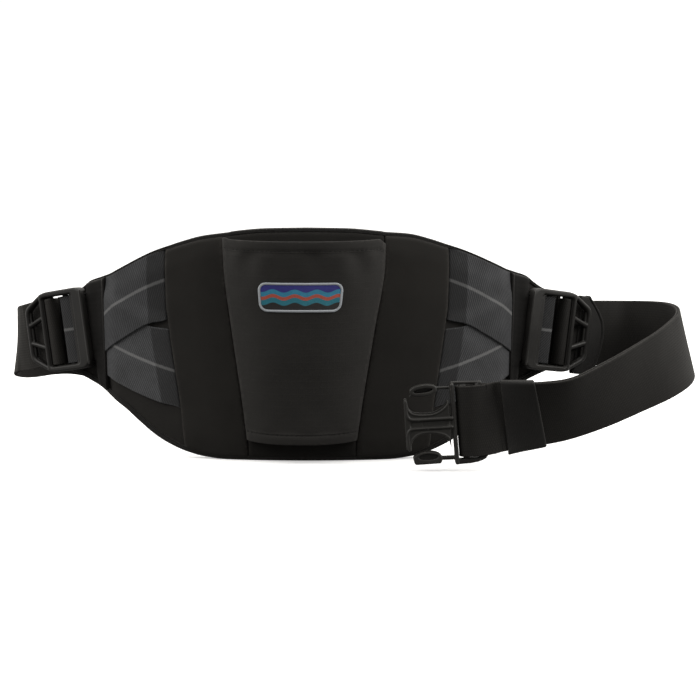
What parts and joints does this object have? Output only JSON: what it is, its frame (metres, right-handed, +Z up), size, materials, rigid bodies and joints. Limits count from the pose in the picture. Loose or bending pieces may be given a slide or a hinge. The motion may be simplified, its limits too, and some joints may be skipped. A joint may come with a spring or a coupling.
{
  "type": "wading belt",
  "caption": "Wide padded lumbar belt with an open-ended sleeve on its panel, webbing wings, tension buckles and a long strap with a side-release clasp, stored open.",
  "frame": {"origin": "middle of the flat lower edge that the belt stands on, under the centre of the panel", "axes": "+X along the belt towards the strap with the long free end, -Y out of the panel's outer face, +Z up"},
  "size_m": [0.5185, 0.2096, 0.1666],
  "materials": {
    "panel_cloth": "matte plain-weave nylon, warm near-black",
    "binding_tape": "matte ribbed tape, black",
    "sleeve_cloth": "ripstop nylon with a fine grid, slightly lighter and smoother",
    "wing_webbing": "charcoal twill webbing with a lighter stripe",
    "belt_webbing": "black woven webbing with a soft sheen",
    "moulded_plastic": "satin black moulded acetal"
  },
  "bodies": {
    "root": {"back_pad": "panel_cloth", "edge_binding": "binding_tape", "panel_left": "panel_cloth", "panel_middle": "panel_cloth", "panel_right": "panel_cloth", "sleeve_front": "sleeve_cloth", "wing_strap_lower_left": "wing_webbing", "wing_strap_upper_left": "wing_webbing", "end_cap_left": "panel_cloth", "wing_strap_lower_right": "wing_webbing", "wing_strap_upper_right": "wing_webbing", "end_cap_right": "panel_cloth", "tension_buckle_left": "moulded_plastic", "anchor_loop_left": "wing_webbing", "tension_buckle_right": "moulded_plastic", "anchor_loop_right": "wing_webbing", "strap_right": "belt_webbing", "strap_left": "belt_webbing", "keeper_front": "belt_webbing", "keeper_right": "belt_webbing", "female_clasp": "moulded_plastic", "male_clasp": "moulded_plastic"}
  },
  "joints": []
}
